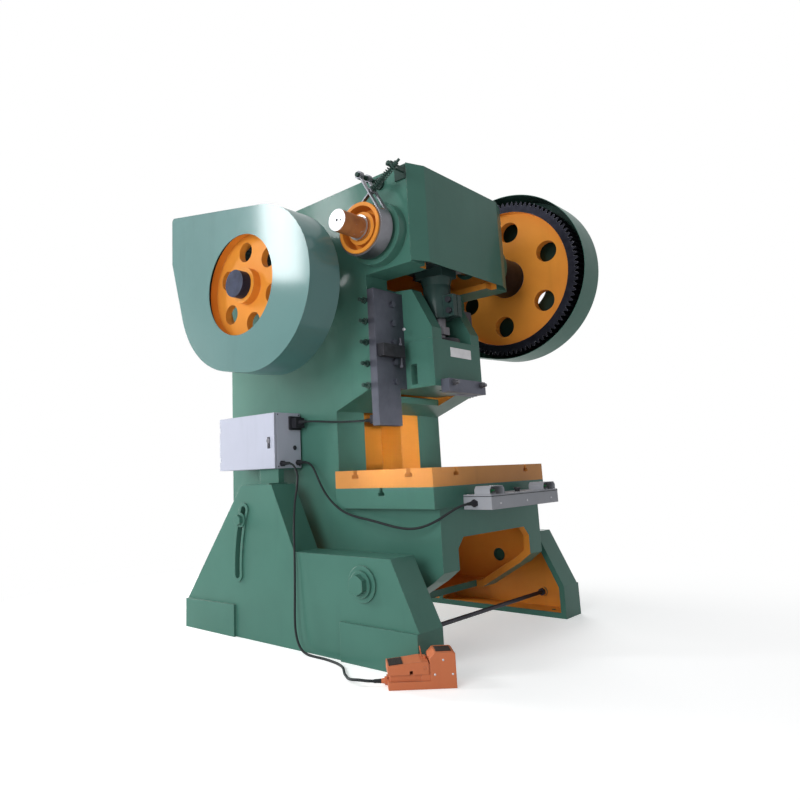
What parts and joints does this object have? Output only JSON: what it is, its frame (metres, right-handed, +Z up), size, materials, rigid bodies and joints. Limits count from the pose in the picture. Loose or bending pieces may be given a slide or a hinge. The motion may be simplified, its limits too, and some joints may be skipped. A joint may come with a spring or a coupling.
{
  "type": "mechanical stamping press",
  "caption": "Open-back inclinable stamping press: C-frame on slotted legs, crank-driven slide, bolster table, flywheel and gear under guards, control box and foot switch.",
  "frame": {"origin": "on the floor, at the middle of the four floor bolt holes", "axes": "+X to the operator's right, -Y towards the operator, +Z up"},
  "size_m": [2.223, 2.205, 2.9919],
  "materials": {
    "green_paint": "gloss",
    "orange_paint": "satin",
    "grey_paint": "satin",
    "red_orange_paint": "satin",
    "dark_iron": "satin",
    "cast_iron": "satin",
    "bare_steel": "satin",
    "gib_steel": "satin",
    "black_plastic": "matte",
    "green_plastic": "gloss",
    "black_rubber": "matte"
  },
  "bodies": {
    "base": {"left_leg": "green_paint", "right_leg": "green_paint", "pivot_bolts": "dark_iron", "front_tie_rod": "bare_steel", "box_stand": "green_paint", "control_box": "grey_paint", "box_connector": "black_plastic", "box_glands": "black_plastic", "foot_switch": "red_orange_paint", "switch_cable": "black_rubber"},
    "box_door_body": {"box_door": "grey_paint"},
    "door_lock_body": {"door_lock": "bare_steel"},
    "foot_pedal_body": {"foot_pedal": "red_orange_paint"},
    "frame": {"c_frame": "green_paint", "tilt_lock_bolts": "dark_iron", "bolster_plate": "orange_paint", "front_hood": "green_paint", "crank_bushes": "green_paint", "countershaft_housings": "green_paint", "left_gib": "gib_steel", "right_gib": "gib_steel", "gib_bolts": "bare_steel", "gib_adjusting_screws": "bare_steel", "knockout_brackets": "gib_steel", "knockout_screws": "bare_steel", "motor": "cast_iron", "motor_plate": "green_paint", "drive_belts": "black_rubber", "flywheel_guard": "green_paint", "gear_guard": "green_paint", "guard_brackets": "green_paint", "brake_band": "bare_steel", "brake_bracket": "dark_iron", "brake_rod": "bare_steel", "brake_spring": "bare_steel", "console": "grey_paint", "console_plug": "black_plastic", "slide_sensor": "orange_paint", "sensor_cable": "black_rubber", "console_cable": "black_rubber"},
    "crank": {"crankshaft": "bare_steel", "brake_drum": "orange_paint"},
    "sleeve": {"stroke_sleeve": "cast_iron"},
    "rod": {"connecting_rod": "green_paint", "rod_cap": "green_paint", "rod_bolts": "dark_iron"},
    "ram": {"slide": "green_paint", "slide_cap": "green_paint", "ball_cap": "dark_iron", "die_clamp": "gib_steel", "die_clamp_studs": "bare_steel"},
    "adjusting_screw": {"ball_screw": "bare_steel"},
    "gear": {"big_gear": "cast_iron"},
    "flywheel_shaft": {"countershaft": "dark_iron", "flywheel": "cast_iron", "pinion": "dark_iron"},
    "motor_rotor": {"motor_pulley": "cast_iron"},
    "left_button": {"left_palm_button": "green_plastic"},
    "right_button": {"right_palm_button": "green_plastic"},
    "stop_button_body": {"stop_button": "black_plastic"}
  },
  "joints": [
    {"name": "frame_tilt", "type": "hinge", "parent": "base", "child": "frame", "pos_m": [0, -0.62, 0.395], "axis": [-1, 0, 0], "range_deg": [0, 18], "deforming": ["sensor_cable", "console_cable"]},
    {"name": "box_door_hinge", "type": "hinge", "parent": "base", "child": "box_door_body", "pos_m": [-0.761, 0.702, 1.1765], "axis": [0, 0, -1], "range_deg": [0, 180]},
    {"name": "door_lock_turn", "type": "hinge", "parent": "box_door_body", "child": "door_lock_body", "pos_m": [-0.772, 0.197, 1.1765], "axis": [1, 0, 0], "range_deg": [0, 90]},
    {"name": "foot_pedal_hinge", "type": "hinge", "parent": "base", "child": "foot_pedal_body", "pos_m": [-0.90858, -1.02879, 0.088], "axis": [-0.7193, -0.6947, 0], "range_deg": [0, 7], "stiffness_Nm_per_rad": 20, "springref_deg": -11.46},
    {"name": "crank_turn", "type": "hinge", "parent": "frame", "child": "crank", "pos_m": [-0.61, -0.61, 2.352], "axis": [1, 0, 0], "continuous": true},
    {"name": "sleeve_turn", "type": "hinge", "parent": "crank", "child": "sleeve", "pos_m": [0, -0.61, 2.3845], "axis": [1, 0, 0], "continuous": true},
    {"name": "rod_hang", "type": "hinge", "parent": "sleeve", "child": "rod", "pos_m": [0, -0.61, 2.417], "axis": [1, 0, 0], "continuous": true},
    {"name": "height_adjust", "type": "slide", "parent": "rod", "child": "ram", "axis": [0, 0, 1], "range_m": [-0.08, 0]},
    {"name": "adjust_screw_turn", "type": "hinge", "parent": "ram", "child": "adjusting_screw", "pos_m": [0, -0.61, 1.69], "axis": [0, 0, 1], "range_deg": [-2880, 0]},
    {"name": "flywheel_spin", "type": "hinge", "parent": "frame", "child": "flywheel_shaft", "pos_m": [-0.9, 0.08789, 2.112], "axis": [1, 0, 0], "continuous": true},
    {"name": "gear_turn", "type": "hinge", "parent": "frame", "child": "gear", "pos_m": [0.95, -0.61, 2.352], "axis": [1, 0, 0], "continuous": true},
    {"name": "motor_turn", "type": "hinge", "parent": "frame", "child": "motor_rotor", "pos_m": [-0.96, 0.64, 2.53], "axis": [1, 0, 0], "continuous": true},
    {"name": "left_button_press", "type": "slide", "parent": "frame", "child": "left_button", "axis": [0, 0, -1], "range_m": [0, 0.006], "stiffness_N_per_m": 1000, "springref_m": -0.006},
    {"name": "right_button_press", "type": "slide", "parent": "frame", "child": "right_button", "axis": [0, 0, -1], "range_m": [0, 0.006], "stiffness_N_per_m": 1000, "springref_m": -0.006},
    {"name": "stop_button_press", "type": "slide", "parent": "frame", "child": "stop_button_body", "axis": [0, 0, -1], "range_m": [0, 0.006], "stiffness_N_per_m": 1000, "springref_m": -0.006}
  ],
  "couplings": [
    {"joint": "sleeve_turn", "follows": "crank_turn", "ratio": -2},
    {"joint": "rod_hang", "follows": "crank_turn", "ratio": 1},
    {"joint": "adjust_screw_turn", "follows": "height_adjust", "rad_per_m": 628.32},
    {"joint": "gear_turn", "follows": "flywheel_spin", "ratio": -0.29474},
    {"joint": "motor_turn", "follows": "flywheel_spin", "ratio": 5.3659}
  ]
}
